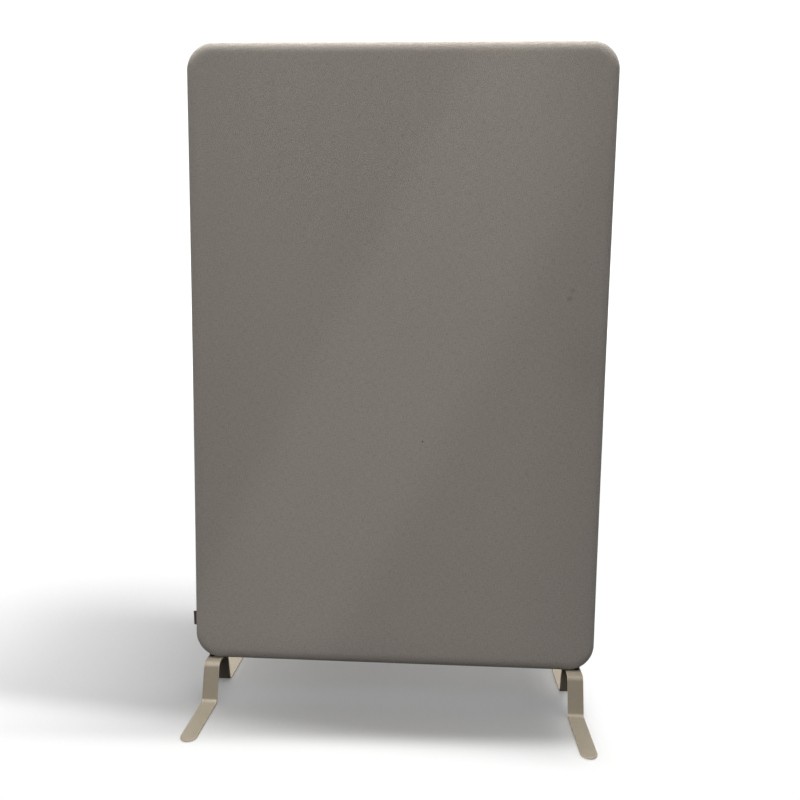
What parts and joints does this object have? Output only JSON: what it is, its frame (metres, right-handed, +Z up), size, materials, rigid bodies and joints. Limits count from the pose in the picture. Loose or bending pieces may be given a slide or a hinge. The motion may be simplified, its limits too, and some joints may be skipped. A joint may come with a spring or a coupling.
{
  "type": "acoustic divider screen",
  "caption": "Free-standing acoustic divider: a fabric-covered padded panel with rounded corners on bent flat-bar steel feet.",
  "frame": {"origin": "on the floor, under the middle of the panel, midway between the feet", "axes": "+Z up, X along the panel's width, Y through its thickness, front face towards -Y"},
  "size_m": [1.0077, 0.456, 1.592],
  "materials": {
    "cover_fabric": "matt woven upholstery cloth, grey-taupe",
    "tag_fabric": "matt folded ribbon, dark brown, bare",
    "foam": "soft open-cell foam",
    "absorber": "pressed fibre board, felted",
    "frame_timber": "planed pine, raw",
    "corner_plywood": "birch plywood, raw",
    "dowel_beech": "fluted beech, raw",
    "foot_coating": "satin powder coat, beige with a faint pearl",
    "glide_felt": "pressed wool felt",
    "zinc_steel": "zinc plated",
    "spacer_steel": "black oxide",
    "insert_brass": "plain"
  },
  "bodies": {
    "root": {"front_cover": "cover_fabric", "rear_cover": "cover_fabric", "side_tag": "tag_fabric", "front_foam": "foam", "rear_foam": "foam", "edge_foam": "foam", "lower_absorber_board": "absorber", "middle_absorber_board": "absorber", "upper_absorber_board": "absorber", "left_stile": "frame_timber", "right_stile": "frame_timber", "bottom_rail": "frame_timber", "top_rail": "frame_timber", "lower_cross_rail": "frame_timber", "upper_cross_rail": "frame_timber", "bottom_left_corner_block": "corner_plywood", "bottom_right_corner_block": "corner_plywood", "top_left_corner_block": "corner_plywood", "top_right_corner_block": "corner_plywood", "frame_dowels": "dowel_beech", "left_foot": "foot_coating", "right_foot": "foot_coating", "left_front_glide": "glide_felt", "left_rear_glide": "glide_felt", "right_front_glide": "glide_felt", "right_rear_glide": "glide_felt", "foot_screws": "zinc_steel", "foot_washers": "zinc_steel", "foot_spacers": "spacer_steel", "threaded_inserts": "insert_brass"}
  },
  "joints": []
}
